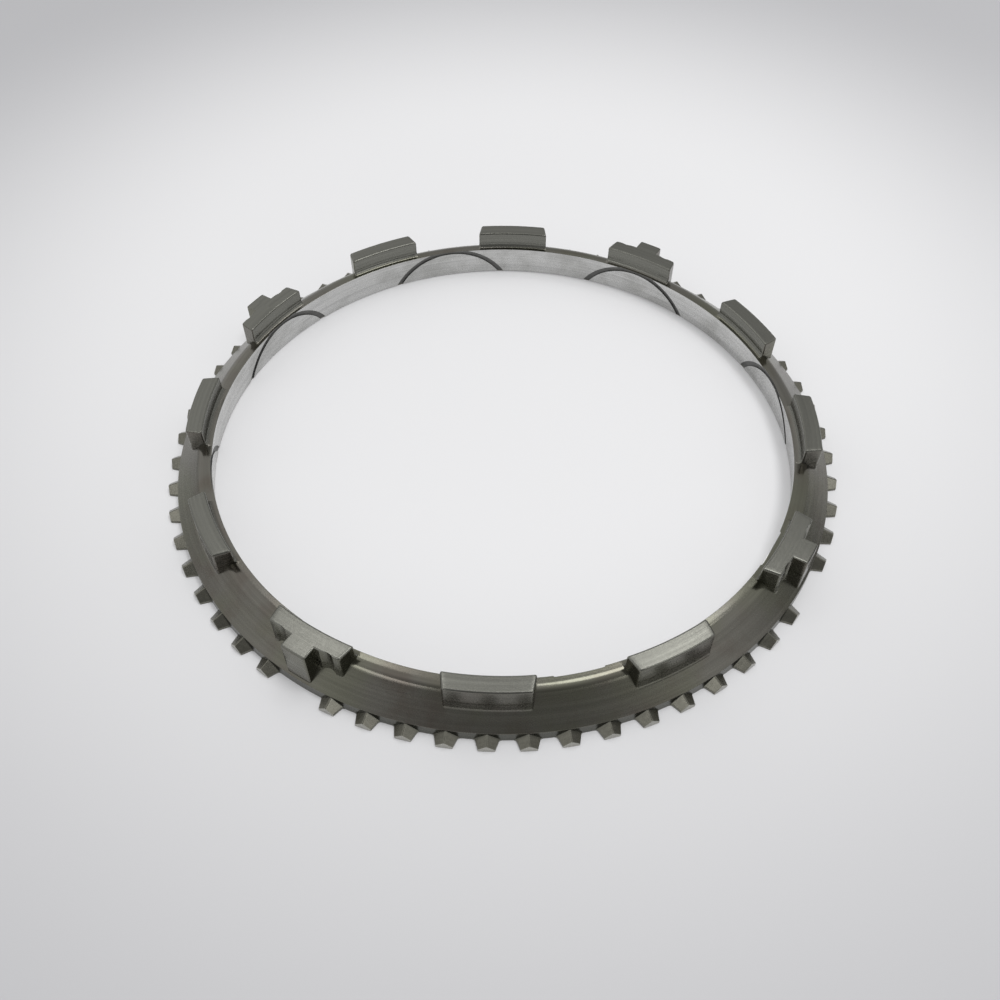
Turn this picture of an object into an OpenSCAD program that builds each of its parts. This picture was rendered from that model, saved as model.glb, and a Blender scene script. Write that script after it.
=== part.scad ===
// Synchronizer ring of a truck gearbox, machined from one steel blank.
// A friction cone runs through the middle, blocking teeth stand round the flange
// and a crown of driving lugs rises from the rim. Some lugs carry a stop block.
// The flat side lies on z = 0, the lugs point up and the axis is Z.

/* [Cone and rim] */
// Diameter of the friction cone at its wide mouth, on the flat side
cone_d = 132.2; // [120:0.1:150]
// Half angle of the friction cone in degrees
cone_angle = 7; // [4:0.5:12]
// Height of the rim above the flat side
rim_h = 8; // [6.5:0.1:12]
// Width of the rim, from the cone to the corner where the flare starts
rim_w = 2.5; // [2:0.1:4]
// Radius that rounds the corner between the rim and the flare
rim_round = 3.6; // [0.5:0.1:5]
// Chamfer at the cone's wide mouth
mouth_chamfer = 0.4; // [0.1:0.1:1]

/* [Toothed flange] */
// Width of the flat side, from the cone's mouth to the tooth roots
flange_w = 7.6; // [6.5:0.1:12]
// Height of the flange at the tooth roots
flange_h = 2.6; // [2.2:0.1:4]
// Number of tooth places round the flange
tooth_places = 60; // [48:4:72]
// Height of a tooth, from its root to its tip
tooth_depth = 2.3; // [1:0.1:3]
// Width of a tooth at its tip
tooth_tip_w = 3.2; // [2:0.1:3.8]
// Slope of the tooth flanks in degrees
flank_angle = 18; // [5:1:22]
// Slope of the two facets that point the tooth towards the lugs, in degrees
roof_angle = 36; // [25:1:42]
// Width of the flat that is left along the ridge between the facets
ridge_w = 0.2; // [0.1:0.1:0.8]
// Step from the flange's edge down to the ridge
ridge_step = 0.2; // [0.1:0.1:0.6]
// Angle by which the ridge falls from the root to the tip
ridge_fall = 16; // [4:1:20]
// Fillet between the tooth flanks and the root
root_fillet = 0.6; // [0.2:0.1:0.9]

/* [Lugs] */
// Number of lugs round the rim
lug_count = 12; // [8:4:12]
// Height of the lugs above the rim
lug_h = 4; // [2:0.1:7]
// Step between the cone's edge and the inner face of the lugs
lug_step = 1.5; // [0.8:0.1:2]
// Thickness of a lug along the radius
lug_t = 3.8; // [2.5:0.1:4.5]
// Width of a lug across its inner face
lug_w = 17.8; // [12:0.1:22]
// Angle by which the end faces of a lug draw in towards its outer face
lug_taper = 8; // [0:1:15]
// Chamfer along the curved top edges of a lug
lug_chamfer = 0.4; // [0.1:0.1:1]
// Chamfer along the top edges at a lug's ends
lug_end_chamfer = 0.6; // [0.1:0.1:1.2]
// Fillet between the outer face of a lug and the flare
lug_fillet = 1; // [0.3:0.1:1.5]
// Fillet between the inner face of a lug and the rim
lug_foot = 1.1; // [0.3:0.1:1.2]

/* [Stop blocks] */
// One lug in this many carries a stop block
stop_every = 3; // [2:1:4]
// Width of a stop block
stop_w = 5.8; // [3:0.1:8]
// Distance of a stop block's outer face inside the tooth roots
stop_inset = 0.4; // [0.3:0.1:1.5]
// Radius of the milled corners beside a stop block
corner_r = 2.8; // [0.8:0.1:3]
// Depth of the milled corners into the outer face of the lug
corner_depth = 0.7; // [0.1:0.1:1.5]

/* [Oil grooves] */
// Number of arched oil grooves in the friction cone
groove_count = 8; // [4:1:12]
// Width of a groove
groove_w = 1.3; // [0.6:0.1:2]
// Depth of a groove into the cone
groove_depth = 0.3; // [0.2:0.1:1.2]
// Radius of the arch that a groove follows
arch_r = 16.4; // [10:0.1:20]
// Height of the arch's crest above the rim, below it where negative
arch_rise = 0.1; // [-2:0.1:0.5]

/* [Hidden] */
$fn = 180;
steel = [0.50, 0.50, 0.47];

// How far cutters and buried feet run past the faces they meet
overlap = 1;
// Flat lengths that stand in for each small fillet
fillet_steps = 4;
// Depth at which fillets end below the face that they run into
bury = 0.05;
// Flat lengths round the end mill that leaves the corners at the stop blocks
mill_fn = 48;
// Part of a tooth pitch, on each side of a stop block, in which no tooth stands
free_share = 0.499;

cone_slope = tan(cone_angle);
cone_r = cone_d / 2;
rim_in_r = cone_r - rim_h * cone_slope;
rim_out_r = rim_in_r + rim_w;
root_r = cone_r + flange_w;
tip_r = root_r + tooth_depth;

lug_in_r = rim_in_r + lug_step;
lug_out_r = lug_in_r + lug_t;
lug_top = rim_h + lug_h;
// The inner fillet may take up most of the step in front of a lug
foot_share = 0.8;
lug_foot_fit = min(lug_foot, foot_share * lug_step);
lug_pitch = 360 / lug_count;
stop_out_r = root_r - stop_inset;
// A stop block grows out of the middle of its lug
stop_in_x = lug_in_r + lug_t / 2;
stop_pitch = lug_pitch * stop_every;
// Lugs and stop blocks start inside the flange, so that they grow out of the flare
foot_z = flange_h / 2;

flare_angle = atan2(rim_h - flange_h, root_r - rim_out_r);
flare_slope = tan(flare_angle);
// The rounding may use up no more than most of the rim or of the flare
round_share = 0.9;
rim_round_fit = min(rim_round, round_share * min(rim_w, root_r - rim_out_r) / tan(flare_angle / 2));

tooth_pitch = 360 / tooth_places;
flank_slope = tan(flank_angle);
// Each root fillet may take this part of the gap between two teeth
gap_share = 0.4;
root_gap = 2 * root_r * sin(tooth_pitch / 2) - tooth_tip_w - 2 * tooth_depth * flank_slope;
root_fillet_fit = min(root_fillet, gap_share * root_gap);

arch_z = rim_h + arch_rise - arch_r;

// Height of the flare at a radius
function flare_z(r) = rim_h - (r - rim_out_r) * flare_slope;

// Points of an arc about a centre, from one angle to another
function arc(centre, r, from, to) = [
    for (i = [0 : fillet_steps])
        let (a = from + (to - from) * i / fillet_steps)
        centre + r * [cos(a), sin(a)]
];

// Section of the ring without lugs and teeth
module body() {
    round_start = rim_out_r - rim_round_fit * tan(flare_angle / 2);
    rotate_extrude()
        polygon(concat(
            [[cone_r + mouth_chamfer, 0]],
            [[cone_r - mouth_chamfer * cone_slope, mouth_chamfer]],
            [[rim_in_r, rim_h]],
            arc([round_start, rim_h - rim_round_fit], rim_round_fit, 90, 90 - flare_angle),
            [[root_r, flange_h]],
            [[root_r, 0]]
        ));
}

// One half of a tooth's plan, on the +Y side, from the tip down to its buried root
function half_tooth() =
    let (tip_hw = tooth_tip_w / 2)
    let (reach = tip_hw + tip_r * flank_slope + root_fillet_fit / cos(flank_angle))
    let (far = root_r - bury + root_fillet_fit)
    let (square = 1 + pow(flank_slope, 2))
    let (mixed = reach * flank_slope)
    let (x = (mixed + sqrt(pow(mixed, 2) - square * (pow(reach, 2) - pow(far, 2)))) / square)
    let (y = reach - x * flank_slope)
    concat(
        [[tip_r + overlap, tip_hw - overlap * flank_slope]],
        arc([x, y], root_fillet_fit, 270 - flank_angle, 180 + atan2(y, x)),
        [[root_r - overlap, y]]
    );

// A blocking tooth with its pointed end towards the lugs, on the +X side
module tooth() {
    half = half_tooth();
    ridge_z = flange_h - ridge_step;
    widest = root_r * sin(tooth_pitch / 2);
    eave = (widest - ridge_w / 2) * tan(roof_angle);
    bottom = eave + flange_h + overlap;
    // The roof starts inside the flange and runs past the tip
    roof_past = 2 * overlap;
    intersection() {
        linear_extrude(flange_h)
            polygon(concat(half, [for (i = [len(half) - 1 : -1 : 0]) [half[i].x, -half[i].y]]));
        translate([root_r, 0, ridge_z])
            rotate([0, ridge_fall, 0])
                translate([-roof_past, 0, 0])
                    rotate([90, 0, 90])
                        linear_extrude(tooth_depth + 2 * roof_past)
                            polygon([[ridge_w / 2, 0], [-ridge_w / 2, 0],
                                     [-widest, -eave], [-widest, -bottom],
                                     [widest, -bottom], [widest, -eave]]);
    }
}

// All teeth, with a free place at every stop block
module teeth() {
    intersection() {
        union() {
            for (i = [0 : tooth_places - 1]) {
                angle = i * tooth_pitch;
                off_stop = abs(angle - stop_pitch * round(angle / stop_pitch));
                if (off_stop > free_share * tooth_pitch)
                    rotate(angle) tooth();
            }
        }
        cylinder(r = tip_r, h = flange_h);
    }
}

// Everything on one side of a lug's end face, chamfered at the top
module lug_end_mask(side) {
    reach = lug_w + lug_t;
    // The mask starts one thickness inside the lug and ends one outside it
    mask_length = 3 * lug_t;
    translate([lug_in_r, side * lug_w / 2, 0])
        rotate(-side * lug_taper)
            translate([-lug_t, 0, 0])
                rotate([90, 0, 90])
                    linear_extrude(mask_length)
                        polygon([[-side * reach, 0], [0, 0], [0, lug_top - lug_end_chamfer],
                                 [-side * (lug_end_chamfer + overlap), lug_top + overlap],
                                 [-side * reach, lug_top + overlap]]);
}

// Ring from which the lugs are parted off
module lug_band() {
    turn = 90 - flare_angle;
    run = lug_fillet * tan(turn / 2);
    heel = flare_z(lug_out_r) - bury / cos(flare_angle);
    rotate_extrude()
        polygon(concat(
            [[lug_in_r, foot_z]],
            arc([lug_in_r - lug_foot_fit, rim_h + lug_foot_fit - bury], lug_foot_fit, 270, 360),
            [[lug_in_r, lug_top - lug_chamfer]],
            [[lug_in_r + lug_chamfer, lug_top]],
            [[lug_out_r - lug_chamfer, lug_top]],
            [[lug_out_r, lug_top - lug_chamfer]],
            arc([lug_out_r + lug_fillet, heel + run], lug_fillet, 180, 180 + turn),
            [[lug_out_r + run, foot_z]]
        ));
}

module lugs() {
    intersection() {
        lug_band();
        union() {
            for (i = [0 : lug_count - 1])
                rotate(i * lug_pitch)
                    intersection() {
                        lug_end_mask(1);
                        lug_end_mask(-1);
                    }
        }
    }
}

// Blocks that reach out from the stop lugs to the flange's edge
module stop_blocks() {
    intersection() {
        rotate_extrude()
            polygon([[rim_in_r, foot_z], [rim_in_r, lug_top],
                     [stop_out_r - lug_chamfer, lug_top], [stop_out_r, lug_top - lug_chamfer],
                     [stop_out_r, foot_z]]);
        union() {
            for (i = [0 : stop_every : lug_count - 1])
                rotate(i * lug_pitch)
                    translate([stop_in_x, -stop_w / 2, 0])
                        cube([tip_r - stop_in_x, stop_w, lug_top + overlap]);
        }
    }
}

// Round corners that an end mill leaves on both sides of a stop block
module milled_corners() {
    for (i = [0 : stop_every : lug_count - 1], side = [-1, 1])
        rotate(i * lug_pitch)
            translate([lug_out_r - corner_depth + corner_r, side * (stop_w / 2 + corner_r), 0])
                cylinder(r = corner_r, h = lug_top + overlap, $fn = mill_fn);
}

// Arched grooves that carry oil out of the friction cone
module oil_grooves() {
    floor_low = cone_r + groove_depth + overlap * cone_slope;
    floor_high = rim_in_r + groove_depth - overlap * cone_slope;
    intersection() {
        translate([0, 0, -overlap])
            cylinder(r1 = floor_low, r2 = floor_high, h = rim_h + 2 * overlap);
        union() {
            for (i = [0 : groove_count - 1])
                rotate(i * 360 / groove_count)
                    translate([rim_in_r / 2, 0, arch_z])
                        rotate([0, 90, 0])
                            difference() {
                                cylinder(r = arch_r + groove_w / 2, h = cone_r);
                                translate([0, 0, -overlap])
                                    cylinder(r = arch_r - groove_w / 2, h = cone_r + 2 * overlap);
                            }
        }
    }
}

module synchronizer_ring() {
    color(steel)
        difference() {
            union() {
                body();
                teeth();
                difference() {
                    union() {
                        lugs();
                        stop_blocks();
                    }
                    milled_corners();
                }
            }
            oil_grooves();
        }
}

synchronizer_ring();
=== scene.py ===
import bmesh
import bpy
import math
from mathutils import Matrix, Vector


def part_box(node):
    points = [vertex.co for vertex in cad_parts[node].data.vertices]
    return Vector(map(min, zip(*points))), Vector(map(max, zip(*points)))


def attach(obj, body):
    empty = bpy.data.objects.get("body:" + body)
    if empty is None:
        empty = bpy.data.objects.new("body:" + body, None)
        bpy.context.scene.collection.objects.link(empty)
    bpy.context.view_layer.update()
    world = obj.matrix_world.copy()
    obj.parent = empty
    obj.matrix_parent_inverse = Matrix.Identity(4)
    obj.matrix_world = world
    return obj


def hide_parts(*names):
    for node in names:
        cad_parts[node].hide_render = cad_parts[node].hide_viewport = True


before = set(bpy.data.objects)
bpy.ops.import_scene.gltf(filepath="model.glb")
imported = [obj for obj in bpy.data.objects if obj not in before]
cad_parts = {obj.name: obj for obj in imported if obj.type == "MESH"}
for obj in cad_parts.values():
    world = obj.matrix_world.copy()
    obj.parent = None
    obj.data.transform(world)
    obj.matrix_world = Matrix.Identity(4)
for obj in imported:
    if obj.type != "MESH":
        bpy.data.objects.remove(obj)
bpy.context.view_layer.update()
ringNode = "synchronizer_ring"
ringLow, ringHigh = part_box(ringNode)
mm = 0.001
print("frame loaded, ring stands", round((ringHigh[2] - ringLow[2]) / mm, 2), "mm high")


# a wire is a socket that can stand in a sum, and each sum adds a Math node
class Wire:
    def __init__(self, kit, socket):
        self.kit = kit
        self.socket = socket

    def maths(self, operation, first, second=0.0):
        return self.kit.add("ShaderNodeMath", {"operation": operation}, {0: first, 1: second})

    def __add__(self, other):
        return self.maths("ADD", self, other)

    def __radd__(self, other):
        return self.maths("ADD", other, self)

    def __sub__(self, other):
        return self.maths("SUBTRACT", self, other)

    def __rsub__(self, other):
        return self.maths("SUBTRACT", other, self)

    def __mul__(self, other):
        return self.maths("MULTIPLY", self, other)

    def __rmul__(self, other):
        return self.maths("MULTIPLY", other, self)

    def __truediv__(self, other):
        return self.maths("DIVIDE", self, other)

    def __rtruediv__(self, other):
        return self.maths("DIVIDE", other, self)

    def __mod__(self, other):
        return self.maths("MODULO", self, other)

    def __rmod__(self, other):
        return self.maths("MODULO", other, self)

    def __gt__(self, other):
        return self.maths("GREATER_THAN", self, other)

    def root(self):
        return self.maths("SQRT", self)

    # 0 below the first value and 1 above the second, with a soft step between them
    def rise(self, start, end):
        settings = {"interpolation_type": "SMOOTHSTEP"}
        sockets = {"Value": self, "From Min": start, "From Max": end}
        return self.kit.add("ShaderNodeMapRange", settings, sockets)

    def fall(self, start, end):
        return 1 - self.rise(start, end)

    # named outputs of the node that this wire comes from
    def beside(self, *names):
        return [Wire(self.kit, self.socket.node.outputs[name]) for name in names]


# one tree of nodes, for a material, the world or a Geometry Nodes group
class NodeKit:
    def __init__(self, tree):
        self.tree = tree

    def plug(self, socket, value):
        if isinstance(value, Wire):
            self.tree.links.new(value.socket, socket)
        else:
            socket.default_value = value

    def add(self, kind, settings=None, sockets=None, out=0):
        node = self.tree.nodes.new(kind)
        for name, value in (settings or {}).items():
            setattr(node, name, value)
        for name, value in (sockets or {}).items():
            for item in value if isinstance(value, list) else [value]:
                self.plug(node.inputs[name], item)
        return Wire(self, node.outputs[out])

    def mix(self, factor, first, second):
        sockets = {0: factor, 6: first, 7: second}
        return self.add("ShaderNodeMix", {"data_type": "RGBA"}, sockets, out=2)

    # how far a way points along another one, from -1 to 1
    def along(self, way, other):
        sockets = {0: way, 1: tuple(other)}
        return self.add("ShaderNodeVectorMath", {"operation": "DOT_PRODUCT"}, sockets, out="Value")


# sizes of the ring in millimetres and degrees, as the solid has them
ringSize = {
    "coneD": 132.2,
    "coneAngle": 7,
    "rimH": 8,
    "rimW": 2.5,
    "rimRound": 3.6,
    "mouthChamfer": 0.4,
    "flangeW": 7.6,
    "flangeH": 2.6,
    "edgeRound": 0.2,       # broken edges of the turned body
    "bodySteps": 720,
    "roundSteps": 10,
    "mergeGap": 0.001,      # points closer than this become one
    "sliverGap": 0.004,     # the same after the cuts
    "sharpFrom": 28,        # edges that turn more than this stay sharp
    "faceWeight": 100,      # how strongly large faces keep their shading flat
}
coneSlope = math.tan(math.radians(ringSize["coneAngle"]))
coneR = ringSize["coneD"] / 2
rimInR = coneR - ringSize["rimH"] * coneSlope
rimOutR = rimInR + ringSize["rimW"]
rootR = coneR + ringSize["flangeW"]
flareAngle = math.atan2(ringSize["rimH"] - ringSize["flangeH"], rootR - rimOutR)
flareSlope = math.tan(flareAngle)
footZ = ringSize["flangeH"] / 2     # lugs start inside the flange and grow out of the flare


def flareZ(radius):
    return ringSize["rimH"] - (radius - rimOutR) * flareSlope


# points of an arc in a plane, from one angle in degrees to another
def arcPoints(centre, radius, start, end, steps):
    turns = [math.radians(start + (end - start) * i / steps) for i in range(steps + 1)]
    return [(centre[0] + radius * math.cos(a), centre[1] + radius * math.sin(a)) for a in turns]


# a closed outline with each marked corner turned into an arc
def roundedOutline(corners, steps):
    points = []
    for i, (x, y, radius) in enumerate(corners):
        if radius == 0:
            points.append((x, y))
            continue
        here = Vector((x, y))
        before = (Vector(corners[i - 1][:2]) - here).normalized()
        after = (Vector(corners[(i + 1) % len(corners)][:2]) - here).normalized()
        half = before.angle(after) / 2
        start = here + before * radius / math.tan(half)
        end = here + after * radius / math.tan(half)
        centre = here + (before + after).normalized() * radius / math.sin(half)
        first = (start - centre).normalized()
        last = (end - centre).normalized()
        for k in range(steps + 1):
            points.append(tuple(centre + first.slerp(last, k / steps) * radius))
    return points


def meshObject(name, points, faces):
    mesh = bpy.data.meshes.new(name)
    mesh.from_pydata([Vector(p) * mm for p in points], [], faces)
    made = bmesh.new()
    made.from_mesh(mesh)
    bmesh.ops.remove_doubles(made, verts=made.verts, dist=ringSize["mergeGap"] * mm)
    bmesh.ops.recalc_face_normals(made, faces=made.faces)
    made.to_mesh(mesh)
    made.free()
    piece = bpy.data.objects.new(name, mesh)
    bpy.context.scene.collection.objects.link(piece)
    return piece


# faces that join equal loops of points one after the other, with caps or closed into a ring
def loftFaces(loops, count, closed):
    faces = []
    for j in range(loops if closed else loops - 1):
        here = j * count
        there = (j + 1) % loops * count
        for i in range(count):
            nextI = (i + 1) % count
            faces.append((here + i, here + nextI, there + nextI, there + i))
    if not closed:
        faces.append(tuple(range(count)))
        faces.append(tuple((loops - 1) * count + i for i in range(count)))
    return faces


# merges points that lie closer than a gap and drops faces that have closed up
def closeGaps(made, gap):
    bmesh.ops.remove_doubles(made, verts=made.verts, dist=gap * mm)
    bmesh.ops.dissolve_degenerate(made, edges=made.edges, dist=gap * mm)


# rounds those sharp edges of a piece that the test picks
def breakEdges(piece, size, look, picks):
    made = bmesh.new()
    made.from_mesh(piece.data)
    sharp = math.radians(look["sharpFrom"])
    edges = [e for e in made.edges if e.calc_face_angle(0) > sharp and picks(e)]
    bmesh.ops.bevel(made, geom=edges, offset=size * mm, segments=look["steps"],
                    profile=look["shape"], affect="EDGES", clamp_overlap=True)
    closeGaps(made, ringSize["mergeGap"])       # a narrow ridge closes up between its rounded edges
    made.to_mesh(piece.data)
    made.free()


# turned body: friction cone, rim, flare and flat side
def makeBody():
    edge = ringSize["edgeRound"]
    section = roundedOutline([
        (coneR + ringSize["mouthChamfer"], 0, 0),
        (coneR - ringSize["mouthChamfer"] * coneSlope, ringSize["mouthChamfer"], 0),
        (rimInR, ringSize["rimH"], edge / 2),
        (rimOutR, ringSize["rimH"], ringSize["rimRound"]),
        (rootR, ringSize["flangeH"], edge),
        (rootR, 0, edge),
    ], ringSize["roundSteps"])
    steps = ringSize["bodySteps"]
    points = []
    for j in range(steps):
        turn = math.tau * (j + 0.5) / steps
        points += [(r * math.cos(turn), r * math.sin(turn), z) for r, z in section]
    return meshObject("turnedBody", points, loftFaces(steps, len(section), True))


toothSize = {
    "places": 60,
    "depth": 2.3,
    "tipW": 3.2,
    "flankAngle": 18,
    "roofAngle": 36,
    "ridgeW": 0.2,
    "ridgeStep": 0.2,
    "ridgeFall": 16,
    "rootFillet": 0.6,
    "filletSteps": 4,
    "bury": 1,             # length of the root inside the body
    "edge": 0.16,          # broken edges
    "edgeLook": {"sharpFrom": 20, "steps": 2, "shape": 0.6},
}
tipR = rootR + toothSize["depth"]


# one blocking tooth on +X, pointed towards the lugs
def makeTooth():
    slope = math.tan(math.radians(toothSize["flankAngle"]))
    tipHalf = toothSize["tipW"] / 2
    ridgeHalf = toothSize["ridgeW"] / 2
    fillet = toothSize["rootFillet"]
    # the fillet touches the flank and the root circle
    square = 1 + slope ** 2
    reach = tipHalf + tipR * slope + fillet * math.sqrt(square)
    lean = reach * slope
    x = (lean + math.sqrt(lean ** 2 - square * (reach ** 2 - (rootR + fillet) ** 2))) / square
    y = reach - x * slope
    toFlank = 270 - toothSize["flankAngle"]
    toRoot = 180 + math.degrees(math.atan2(y, x))
    side = arcPoints((x, y), fillet, toFlank, toRoot, toothSize["filletSteps"])
    innerX = rootR - toothSize["bury"]
    half = [(tipR, ridgeHalf), (tipR, tipHalf)] + side
    half += [(innerX, side[-1][1]), (innerX, ridgeHalf)]
    plan = half + [(px, -py) for px, py in reversed(half)]

    ridgeZ = ringSize["flangeH"] - toothSize["ridgeStep"]
    fall = math.radians(toothSize["ridgeFall"])
    roof = math.tan(math.radians(toothSize["roofAngle"])) / math.cos(fall)
    points = [(px, py, 0) for px, py in plan]
    for px, py in plan:
        points.append((px, py, ridgeZ - (px - rootR) * math.tan(fall) - (abs(py) - ridgeHalf) * roof))
    count = len(plan)
    left = len(half)
    faces = [(i, (i + 1) % count, (i + 1) % count + count, i + count) for i in range(count)]
    faces.append(tuple(range(count)))
    faces.append(tuple(range(count, count + left)))
    faces.append(tuple(range(count + left, 2 * count)))
    faces.append((count, count + left - 1, count + left, 2 * count - 1))
    tooth = meshObject("blockingTooth", points, faces)

    buried = (rootR - toothSize["bury"] / 2) * mm
    breakEdges(tooth, toothSize["edge"], toothSize["edgeLook"],
               lambda e: e.verts[0].co.x + e.verts[1].co.x > 2 * buried)
    return tooth


lugSize = {
    "count": 12,
    "height": 4,
    "step": 1.5,
    "thick": 3.8,
    "width": 17.8,
    "taper": 8,
    "chamfer": 0.4,
    "chamferSteps": 4,
    "fillet": 1,
    "filletSteps": 6,
    "foot": 1.1,            # fillet in front of the inner face
    "footBury": 0.05,
    "endRound": 0.45,
    "endSteps": 4,
    "columns": 24,
    "stopEvery": 3,
    "stopW": 5.8,
    "stopInset": 0.4,
    "stopSteps": 8,
    "stopEdge": {"sharpFrom": 30, "steps": 3, "shape": 0.5},
    "stopMargin": 0.1,      # edges this close to the hidden end or foot stay as they are
    "cornerR": 2.8,
    "cornerDepth": 0.7,
    "cornerSteps": 48,
    "cutterReach": 1,       # how far the end mill stands above the lugs
}
lugInR = rimInR + lugSize["step"]
lugOutR = lugInR + lugSize["thick"]
lugTop = ringSize["rimH"] + lugSize["height"]
stopOutR = rootR - lugSize["stopInset"]


# section of a lug, drawn in by an inset towards its ends
def lugSection(inset):
    fillet = lugSize["fillet"]
    turn = 90 - math.degrees(flareAngle)
    run = fillet * math.tan(math.radians(turn / 2))
    heel = (lugOutR + fillet, flareZ(lugOutR) + run)
    outer = arcPoints(heel, fillet, 180, 180 + turn, lugSize["filletSteps"])
    foot = lugSize["foot"]
    toe = (lugInR - foot, ringSize["rimH"] + foot - lugSize["footBury"])
    inner = arcPoints(toe, foot, 270, 360, lugSize["filletSteps"])
    chamfer = lugSize["chamfer"]
    edgeZ = lugTop - chamfer - inset
    section = [(lugInR + inset, footZ)]
    section += [(r + inset, z) for r, z in inner]
    section += arcPoints((lugInR + chamfer + inset, edgeZ), chamfer, 180, 90, lugSize["chamferSteps"])
    section += arcPoints((lugOutR - chamfer - inset, edgeZ), chamfer, 90, 0, lugSize["chamferSteps"])
    section += [(r - inset, z) for r, z in outer]
    section += [(lugOutR + run - inset, footZ)]
    return section


# half width of a lug at a radius, where its drawn in end face crosses that circle
def lugHalf(radius):
    taper = math.radians(lugSize["taper"])
    startX = lugInR
    startY = lugSize["width"] / 2
    along = startX * math.cos(taper) - startY * math.sin(taper)
    run = -along + math.sqrt(along ** 2 - (startX ** 2 + startY ** 2 - radius ** 2))
    return startY - run * math.sin(taper)


# one driving lug on +X
def makeLug():
    endSteps = lugSize["endSteps"]
    endRound = lugSize["endRound"]
    stations = []
    for k in range(endSteps + 1):
        turn = math.pi / 2 * k / endSteps
        stations.append((endRound * (1 - math.cos(turn)), endRound * (1 - math.sin(turn))))
    columns = [(-1, d, inset) for d, inset in stations]
    columns += [(t / lugSize["columns"] * 2 - 1, endRound, 0) for t in range(1, lugSize["columns"])]
    columns += [(1, d, inset) for d, inset in reversed(stations)]
    points = []
    for t, d, inset in columns:
        for r, z in lugSection(inset):
            y = t * (lugHalf(r) - d)
            points.append((math.sqrt(r ** 2 - y ** 2), y, z))
    return meshObject("drivingLug", points, loftFaces(len(columns), len(lugSection(0)), False))


# block that reaches out of a stop lug, with its edges broken
def makeStopBlock():
    half = lugSize["stopW"] / 2
    innerX = (lugInR + lugOutR) / 2
    steps = lugSize["stopSteps"]
    outer = [half - 2 * half * i / steps for i in range(steps + 1)]
    plan = [(innerX, -half)]
    plan += [(math.sqrt(stopOutR ** 2 - y ** 2), -y) for y in outer]
    plan += [(innerX, half)]
    points = [(x, y, footZ) for x, y in plan] + [(x, y, lugTop) for x, y in plan]
    block = meshObject("stopBlock", points, loftFaces(2, len(plan), False))
    clearX = (innerX + lugSize["stopMargin"]) * mm
    clearZ = (footZ + lugSize["stopMargin"]) * mm

    def shows(edge):
        return max(v.co.x for v in edge.verts) > clearX and max(v.co.z for v in edge.verts) > clearZ

    breakEdges(block, lugSize["chamfer"], lugSize["stopEdge"], shows)
    return block


# end mill that leaves the round corners beside a stop block
def makeCornerCutter():
    radius = lugSize["cornerR"]
    steps = lugSize["cornerSteps"]
    topZ = lugTop + lugSize["cutterReach"]
    centreX = lugOutR - lugSize["cornerDepth"] + radius
    points = []
    faces = []
    for side in (-1, 1):
        centreY = side * (lugSize["stopW"] / 2 + radius)
        loop = arcPoints((centreX, centreY), radius, 0, 360 - 360 / steps, steps - 1)
        start = len(points)
        points += [(x, y, 0) for x, y in loop] + [(x, y, topZ) for x, y in loop]
        faces += [tuple(start + i for i in face) for face in loftFaces(2, steps, False)]
    return meshObject("cornerCutter", points, faces)


grooveSize = {
    "count": 8,
    "width": 1.3,
    "depth": 0.3,
    "archR": 16.4,
    "archRise": 0.1,
    "archSteps": 60,
    "floorRound": 0.12,
    "floorSteps": 3,
    "cutBelow": 1,          # how far the cutter goes on below the flat side
    "cutInside": 1.5,       # how far it stands in front of the cone
}


# cutter of one arched oil groove on +X
def makeGrooveCutter():
    half = grooveSize["width"] / 2
    roundR = grooveSize["floorRound"]
    archR = grooveSize["archR"]
    archZ = ringSize["rimH"] + grooveSize["archRise"] - archR
    # across the groove: offset from the middle of the arch and height of the floor there
    floorSteps = grooveSize["floorSteps"]
    turns = [math.pi / 2 * k / floorSteps for k in range(floorSteps + 1)]
    floor = [(-half + roundR * (1 - math.cos(a)), roundR * (1 - math.sin(a))) for a in turns]
    across = [(-half, None)] + floor + [(-o, up) for o, up in reversed(floor)] + [(half, None)]
    lowest = math.degrees(math.asin((-grooveSize["cutBelow"] - archZ) / archR))
    archSteps = grooveSize["archSteps"]
    points = []
    for k in range(archSteps + 1):
        a = math.radians(lowest + (180 - 2 * lowest) * k / archSteps)
        for offset, up in across:
            r = archR + offset
            y = r * math.cos(a)
            z = archZ + r * math.sin(a)
            wall = coneR - z * coneSlope
            deep = wall - grooveSize["cutInside"] if up is None else wall + grooveSize["depth"] - up
            points.append((math.sqrt(deep ** 2 - y ** 2), y, z))
    return meshObject("grooveCutter", points, loftFaces(archSteps + 1, len(across), False))


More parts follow.
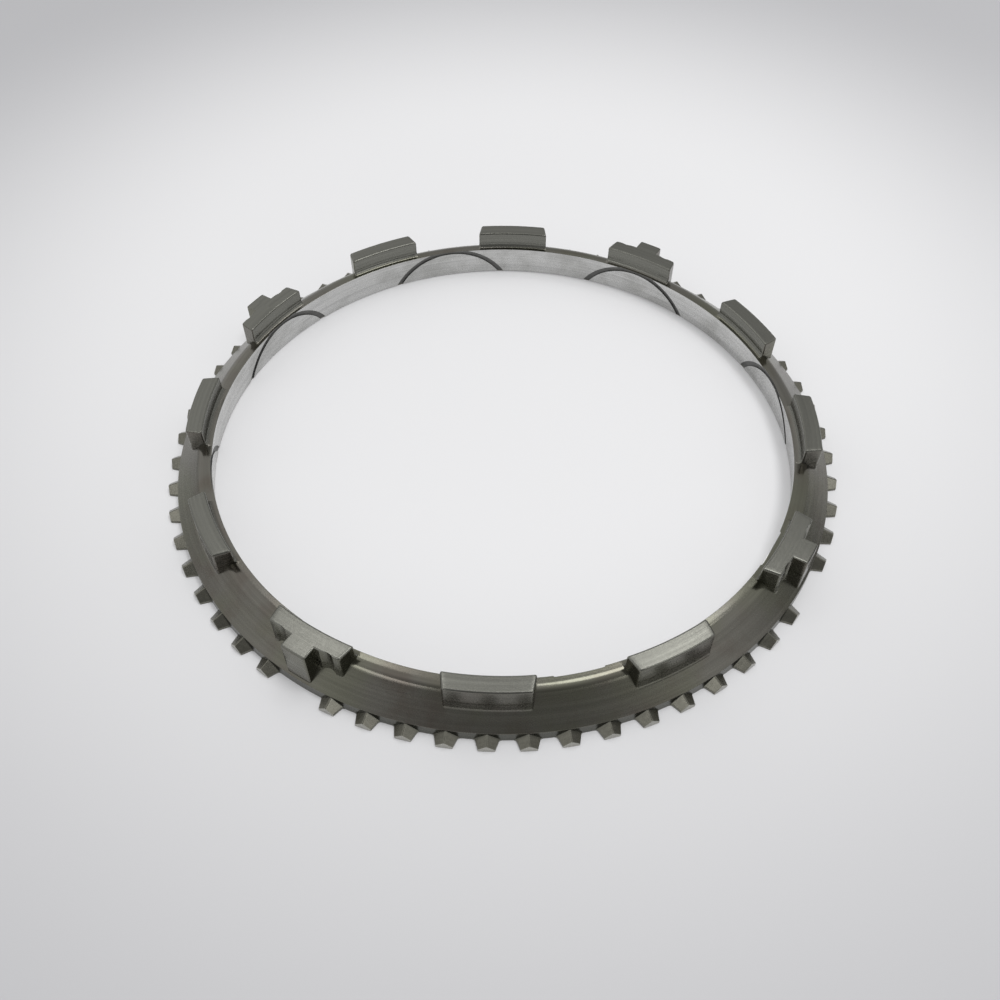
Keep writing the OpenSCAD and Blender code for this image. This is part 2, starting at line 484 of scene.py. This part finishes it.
# Geometry Nodes tree that sets teeth and lugs round the body and cuts the grooves
def ringTree():
    tree = bpy.data.node_groups.new("ringPattern", "GeometryNodeTree")
    sockets = {
        "Body": "NodeSocketGeometry",
        "Tooth": "NodeSocketObject",
        "Lug": "NodeSocketObject",
        "Stop Block": "NodeSocketObject",
        "Corner Cutter": "NodeSocketObject",
        "Groove Cutter": "NodeSocketObject",
        "Tooth Places": "NodeSocketInt",
        "Lug Count": "NodeSocketInt",
        "Stop Every": "NodeSocketInt",
        "Groove Count": "NodeSocketInt",
        "Steel": "NodeSocketMaterial",
    }
    for name, kind in sockets.items():
        tree.interface.new_socket(name=name, in_out="INPUT", socket_type=kind)
    tree.interface.new_socket(name="Ring", in_out="OUTPUT", socket_type="NodeSocketGeometry")
    kit = NodeKit(tree)
    inputs = tree.nodes.new("NodeGroupInput")
    given = {socket.name: Wire(kit, socket) for socket in inputs.outputs if socket.name}
    index = kit.add("GeometryNodeInputIndex")

    # copies of a part, turned about the axis by equal steps
    def around(name, count, keep):
        points = kit.add("GeometryNodePoints", {}, {"Count": count})
        turn = kit.add("ShaderNodeCombineXYZ", {}, {"Z": index * math.tau / count})
        part = kit.add("GeometryNodeObjectInfo", {}, {"Object": given[name]}, out="Geometry")
        copies = kit.add("GeometryNodeInstanceOnPoints", {},
                         {"Points": points, "Instance": part, "Rotation": turn, "Selection": keep})
        return kit.add("GeometryNodeRealizeInstances", {}, {"Geometry": copies})

    def joined(parts):
        settings = {"operation": "UNION", "solver": "EXACT"}
        return kit.add("GeometryNodeMeshBoolean", settings, {"Mesh 2": parts})

    def cut(whole, cutter):
        settings = {"operation": "DIFFERENCE", "solver": "EXACT"}
        return kit.add("GeometryNodeMeshBoolean", settings, {"Mesh 1": whole, "Mesh 2": cutter})

    stops = given["Lug Count"] / given["Stop Every"]
    offStop = index % (given["Tooth Places"] / stops) > 0.5     # no tooth under a stop block
    teeth = around("Tooth", given["Tooth Places"], offStop)
    lugs = around("Lug", given["Lug Count"], True)
    blocks = around("Stop Block", stops, True)
    crown = cut(joined([lugs, blocks]), around("Corner Cutter", stops, True))
    whole = joined([given["Body"], teeth, crown])
    grooved = cut(whole, around("Groove Cutter", given["Groove Count"], True))
    real = kit.add("GeometryNodeRealizeInstances", {}, {"Geometry": grooved})
    dressed = kit.add("GeometryNodeSetMaterial", {}, {"Geometry": real, "Material": given["Steel"]})
    output = tree.nodes.new("NodeGroupOutput")
    kit.plug(output.inputs["Ring"], dressed)
    return tree


# looks of the one steel, with painted light on the lugs' inner faces, and lengths in millimetres
steelLook = {
    "colours": {
        "plain": (0.170, 0.164, 0.145, 1),
        "stain": (0.127, 0.106, 0.090, 1),
        "olive": (0.158, 0.160, 0.122, 1),
        "top": (0.180, 0.180, 0.160, 1),
        # painted light: the lugs' inner faces get a lighter copy of the steel for the floor light they
        # reflect
        "inner": (0.185, 0.185, 0.165, 1),
        "root": (0.105, 0.105, 0.090, 1),
        "tooth": (0.168, 0.164, 0.138, 1),
        "tip": (0.400, 0.395, 0.360, 1),
        "cone": (0.560, 0.560, 0.550, 1),
        "smudge": (0.410, 0.410, 0.395, 1),
        "groove": (0.140, 0.140, 0.135, 1),
    },
    # where a soft step starts and ends, counted from a size of the ring
    "steps": {
        "coneEnd": (0.02, 0.06),
        "grooveStart": (0.04, 0.12),
        "grooveEnd": (0.04, 0.1),
        "grooveLow": (0, 0.1),
        "grooveHigh": (-0.1, -0.02),
        "top": (-0.3, -0.1),
        "rimLow": (-0.7, -0.4),
        "rimHigh": (0.02, 0.1),
        # the next two steps bound the painted light on the lugs' inner faces
        "innerEnd": (0.02, 0.1),
        "innerLow": (0.05, 0.3),
        "rootStart": (-0.2, -0.05),
        "rootHigh": (-0.15, 0),
        "tooth": (0.02, 0.1),
        "tip": (-0.1, -0.04),
    },
    # scale, detail and roughness of the noise
    "noise": {
        "lines": (1.0, 4.0, 0.65),
        "patches": (0.09, 4.0, 0.6),
        "greens": (0.05, 3.0, 0.5),
        "grain": (2.2, 3.0, 0.5),
    },
    # noise at which a patch starts and is full, and its strength there
    "patches": {
        "stain": (0.45, 0.7, 0.6),
        "olive": (0.45, 0.65, 0.7),
        "smudge": (0.42, 0.66, 0.8),
    },
    "turning": (1.8, 1.8, 1.6),      # scale of the turning lines outwards, up and round the axis
    "streak": (0.65, 0.7),           # darkest tone of the turning lines and how much it rises
    "rough": 0.28,
    "rimPolish": 0.12,
    "topPolish": 0.06,
    "grooveRough": 0.2,
    "grainRough": 0.1,
    "lineRelief": 0.8,
    "grainRelief": 0.2,
    "coneGround": 0.15,              # how much of the grain is ground off the cone
    "bump": 0.25,
    "bumpDepth": 0.02,
}


def ringSteel():
    material = bpy.data.materials.new("ringSteel")
    material.use_nodes = True
    kit = NodeKit(material.node_tree)
    shader = material.node_tree.nodes["Principled BSDF"]
    place = kit.add("ShaderNodeTexCoord", out="Object")
    inMm = kit.add("ShaderNodeVectorMath", {"operation": "SCALE"}, {0: place, "Scale": 1 / mm})
    x, y, z = kit.add("ShaderNodeSeparateXYZ", {}, {0: inMm}).beside("X", "Y", "Z")
    radius = (x * x + y * y).root()
    around = x.maths("ARCTAN2", y, x)
    inWall = radius - (coneR - z * coneSlope)        # depth into the metal behind the cone

    def past(value, size, name):
        start, end = steelLook["steps"][name]
        return value.rise(size + start, size + end)

    def noise(vector, name):
        scale, detail, rough = steelLook["noise"][name]
        sockets = {"Vector": vector, "Scale": scale, "Detail": detail, "Roughness": rough}
        return kit.add("ShaderNodeTexNoise", {}, sockets)

    def patch(pattern, name):
        start, end, strength = steelLook["patches"][name]
        return pattern.rise(start, end) * strength

    # zones of the ring, 1 inside and 0 outside
    rimH = ringSize["rimH"]
    cone = 1 - past(inWall, 0, "coneEnd")
    groove = past(inWall, 0, "grooveStart") * (1 - past(inWall, grooveSize["depth"], "grooveEnd"))
    groove = groove * past(z, ringSize["mouthChamfer"], "grooveLow") * (1 - past(z, rimH, "grooveHigh"))
    rim = past(z, rimH, "rimLow") * (1 - past(z, rimH, "rimHigh"))
    top = past(z, lugTop, "top")
    # mask of the painted light on the lugs' inner faces
    inner = (1 - past(radius, lugInR, "innerEnd")) * past(z, rimH, "innerLow")
    root = past(radius, rootR, "rootStart") * (1 - past(z, ringSize["flangeH"], "rootHigh"))
    tooth = past(radius, rootR, "tooth")
    tip = past(radius, tipR, "tip")

    outwards, upwards, roundAxis = steelLook["turning"]
    spread = {0: radius * outwards, 1: z * upwards, 2: around * roundAxis}
    turned = kit.add("ShaderNodeCombineXYZ", {}, spread)
    lines = noise(turned, "lines")
    patches = noise(inMm, "patches")
    greens = noise(inMm, "greens")
    grain = noise(inMm, "grain")

    colours = steelLook["colours"]
    colour = kit.mix(patch(patches, "stain"), colours["plain"], colours["stain"])
    colour = kit.mix(patch(greens, "olive"), colour, colours["olive"])
    colour = kit.mix(top, colour, colours["top"])
    # painted light on the lugs' inner faces
    colour = kit.mix(inner, colour, colours["inner"])
    colour = kit.mix(root, colour, colours["root"])
    colour = kit.mix(tooth, colour, colours["tooth"])
    colour = kit.mix(tip, colour, colours["tip"])
    ground = kit.mix(patch(patches, "smudge"), colours["cone"], colours["smudge"])
    colour = kit.mix(cone, colour, ground)
    colour = kit.mix(groove, colour, colours["groove"])
    darkest, gain = steelLook["streak"]
    streak = darkest + lines * gain
    tone = kit.add("ShaderNodeCombineXYZ", {}, {0: streak, 1: streak, 2: streak})
    shade = kit.add("ShaderNodeVectorMath", {"operation": "MULTIPLY"}, {0: colour, 1: tone})
    kit.plug(shader.inputs["Base Color"], shade)

    rough = steelLook["rough"] - rim * steelLook["rimPolish"] - top * steelLook["topPolish"]
    rough = rough + groove * steelLook["grooveRough"] + (grain - 0.5) * steelLook["grainRough"]
    kit.plug(shader.inputs["Roughness"], rough)
    shader.inputs["Metallic"].default_value = 1.0
    grainHeight = steelLook["grainRelief"] - cone * steelLook["coneGround"]
    relief = lines * steelLook["lineRelief"] + grain * grainHeight
    depth = steelLook["bumpDepth"] * mm
    bump = kit.add("ShaderNodeBump", {}, {"Height": relief, "Strength": steelLook["bump"], "Distance": depth})
    kit.plug(shader.inputs["Normal"], bump)
    return material


def makeRing():
    helpers = {
        "Tooth": makeTooth(),
        "Lug": makeLug(),
        "Stop Block": makeStopBlock(),
        "Corner Cutter": makeCornerCutter(),
        "Groove Cutter": makeGrooveCutter(),
    }
    values = {
        "Tooth Places": toothSize["places"],
        "Lug Count": lugSize["count"],
        "Stop Every": lugSize["stopEvery"],
        "Groove Count": grooveSize["count"],
        "Steel": ringSteel(),
    }
    body = makeBody()
    pattern = body.modifiers.new("pattern", "NODES")
    pattern.node_group = ringTree()
    for item in pattern.node_group.interface.items_tree:
        value = helpers.get(item.name, values.get(item.name))
        if item.in_out == "INPUT" and value is not None:
            pattern[item.identifier] = value
    body.update_tag()
    bpy.context.view_layer.update()
    seen = body.evaluated_get(bpy.context.evaluated_depsgraph_get())
    mesh = bpy.data.meshes.new_from_object(seen)
    mesh.name = "synchroRing"
    clean = bmesh.new()
    clean.from_mesh(mesh)
    closeGaps(clean, ringSize["sliverGap"])
    clean.to_mesh(mesh)
    clean.free()
    ring = bpy.data.objects.new("synchroRing", mesh)
    bpy.context.scene.collection.objects.link(ring)
    body.modifiers.remove(pattern)
    for helper in [body] + list(helpers.values()):
        bpy.data.objects.remove(helper)
    return ring


# large faces stay flat beside their rounded edges
def flattenShading(piece):
    piece.data.shade_smooth()
    piece.data.set_sharp_from_angle(angle=math.radians(ringSize["sharpFrom"]))
    weighted = piece.modifiers.new("weighted", "WEIGHTED_NORMAL")
    weighted.keep_sharp = True
    weighted.weight = ringSize["faceWeight"]
    bpy.context.view_layer.update()
    seen = piece.evaluated_get(bpy.context.evaluated_depsgraph_get())
    flat = bpy.data.meshes.new_from_object(seen)
    piece.modifiers.remove(weighted)
    piece.data = flat
    flat.name = piece.name


ring = makeRing()
flattenShading(ring)
print("ring made,", len(ring.data.polygons), "faces")
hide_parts(ringNode)
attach(ring, "root")


# where the photograph was taken from, in degrees, metres and millimetres of lens
shot = {
    "azimuth": 32.37,
    "elevation": 50.53,
    "distance": 0.2242,
    "target": (0.00774, -0.01340, 0.0),
    "lens": 36.08,
    "sensor": 36.0,
    "nearest": 0.01,
}
azimuth = math.radians(shot["azimuth"])
elevation = math.radians(shot["elevation"])
toRight = Vector((math.cos(azimuth), math.sin(azimuth), 0))
toBack = Vector((-math.sin(azimuth), math.cos(azimuth), 0))
toCamera = Vector((0, 0, 1)) * math.sin(elevation) - toBack * math.cos(elevation)


def makeCamera():
    lens = bpy.data.cameras.new("camera")
    lens.lens = shot["lens"]
    lens.sensor_width = shot["sensor"]
    lens.clip_start = shot["nearest"]
    camera = bpy.data.objects.new("camera", lens)
    bpy.context.scene.collection.objects.link(camera)
    camera.location = Vector(shot["target"]) + toCamera * shot["distance"]
    camera.rotation_euler = (-toCamera).to_track_quat("-Z", "Y").to_euler()
    bpy.context.scene.camera = camera


makeCamera()
print("camera set")


# right and back are as the camera sees them
studio = {
    "floor": (0.79, 0.79, 0.80, 1),
    # painted shade: the floor's colour darkens away from the middle below, a falloff of light painted into it
    "floorPaintedShade": (0.50, 0.50, 0.515, 1),
    "floorMiddle": (-0.03, 0.05, 0.0),
    "floorFade": (0.08, 0.23),   # distances from the middle where the floor starts and ends to darken
    "floorSize": 6.0,
    "floorRough": 0.9,
    "floorGloss": 0.2,
    "soften": 0.30,              # how much of the floor shows without shadow
    "sky": (1.0, 1.0, 1.0, 1),
    "around": 0.80,              # world light all round
    "lowBand": (0.12, 0.32),     # heights over which the low parts of the world end
    # parts of the world: their light, where they lie, with height in degrees, and how they fade in
    "backRight": {"light": 0.55, "right": 0.6, "back": 0.8, "height": 0, "fade": (0.35, 0.8)},
    "lowRight": {"light": 0.08, "right": 0.94, "back": -0.34, "height": 0, "fade": (0.6, 0.9)},
    "lowLeft": {"light": 0.55, "right": -1, "back": 0, "height": 0, "fade": (0.5, 0.85)},
    "front": {"light": 0.26, "right": 0, "back": -1, "height": 40, "fade": (0.6, 0.93)},
    # panels of light, in metres
    "key": {"size": (0.26, 0.32), "right": 0.20, "back": 0.20, "up": 0.9, "radiance": 4.0},
    "spot": {"size": (0.12, 0.12), "right": 0.22, "back": 0.50, "up": 0.9, "radiance": 3.6},
    "fill": {"size": (0.14, 0.14), "right": -0.20, "back": 0.46, "up": 0.9, "radiance": 2.5},
    "side": {"size": (0.25, 0.25), "right": 0.24, "back": -0.10, "up": 0.9, "radiance": 16.0},
    "windowLeft": {"size": (0.44, 0.30), "right": -0.58, "back": -0.62, "up": 0.9, "radiance": 2.0},
    "windowRight": {"size": (0.36, 0.30), "right": 0.76, "back": -0.60, "up": 0.9, "radiance": 2.0},
}


def makeFloor():
    half = studio["floorSize"] / 2
    corners = [(-half, -half, 0), (half, -half, 0), (half, half, 0), (-half, half, 0)]
    mesh = bpy.data.meshes.new("floor")
    mesh.from_pydata(corners, [], [(0, 1, 2, 3)])
    floor = bpy.data.objects.new("floor", mesh)
    bpy.context.scene.collection.objects.link(floor)
    material = bpy.data.materials.new("paleFloor")
    material.use_nodes = True
    kit = NodeKit(material.node_tree)
    shader = material.node_tree.nodes["Principled BSDF"]
    place = kit.add("ShaderNodeTexCoord", out="Object")
    ends = {0: place, 1: studio["floorMiddle"]}
    away = kit.add("ShaderNodeVectorMath", {"operation": "DISTANCE"}, ends, out="Value")
    # the pale floor with painted shade that darkens it away from the middle; the glow below carries it too
    pale = kit.mix(away.rise(*studio["floorFade"]), studio["floor"], studio["floorPaintedShade"])
    kit.plug(shader.inputs["Base Color"], pale)
    shader.inputs["Roughness"].default_value = studio["floorRough"]
    shader.inputs["Specular IOR Level"].default_value = studio["floorGloss"]
    rays = kit.add("ShaderNodeLightPath")
    straight, glossy, through = rays.beside("Is Camera Ray", "Is Glossy Ray", "Is Transmission Ray")
    seen = straight + glossy + through
    glow = kit.add("ShaderNodeEmission", {}, {"Color": pale, "Strength": 1.0})
    lit = Wire(kit, shader.outputs["BSDF"])
    both = kit.add("ShaderNodeMixShader", {}, {0: seen * studio["soften"], 1: lit, 2: glow})
    kit.plug(material.node_tree.nodes["Material Output"].inputs["Surface"], both)
    mesh.materials.append(material)


def makePanel(name, onFloor=True, onSteel=True):
    look = studio[name]
    panel = bpy.data.lights.new(name, "AREA")
    panel.shape = "RECTANGLE"
    panel.size, panel.size_y = look["size"]
    panel.energy = look["radiance"] * math.pi * panel.size * panel.size_y
    lamp = bpy.data.objects.new(name, panel)
    lamp.visible_diffuse = onFloor
    lamp.visible_glossy = onSteel
    lamp.location = toRight * look["right"] + toBack * look["back"] + Vector((0, 0, look["up"]))
    lamp.rotation_euler = lamp.location.to_track_quat("Z", "Y").to_euler()
    bpy.context.scene.collection.objects.link(lamp)


def makeLights():
    world = bpy.data.worlds.new("studio")
    world.use_nodes = True
    bpy.context.scene.world = world
    kit = NodeKit(world.node_tree)
    back = world.node_tree.nodes["Background"]
    back.inputs["Color"].default_value = studio["sky"]
    way = kit.add("ShaderNodeTexCoord", out="Generated")

    # 1 in a part of the world and 0 away from it
    def inPart(name):
        look = studio[name]
        height = math.radians(look["height"])
        level = toRight * look["right"] + toBack * look["back"]
        middle = level * math.cos(height) + Vector((0, 0, math.sin(height)))
        return kit.along(way, middle).rise(*look["fade"])

    low = kit.along(way, (0, 0, 1)).fall(*studio["lowBand"])
    light = studio["around"]
    for name, band in (("backRight", 1), ("lowRight", low), ("lowLeft", low), ("front", 1)):
        light = light + band * inPart(name) * (studio[name]["light"] - light)
    kit.plug(back.inputs["Strength"], light)
    makePanel("key")
    makePanel("spot")
    makePanel("fill")
    makePanel("side", onSteel=False)
    makePanel("windowLeft", onFloor=False)
    makePanel("windowRight", onFloor=False)


makeFloor()
makeLights()
bpy.context.scene.view_settings.view_transform = "Standard"
print("studio set")
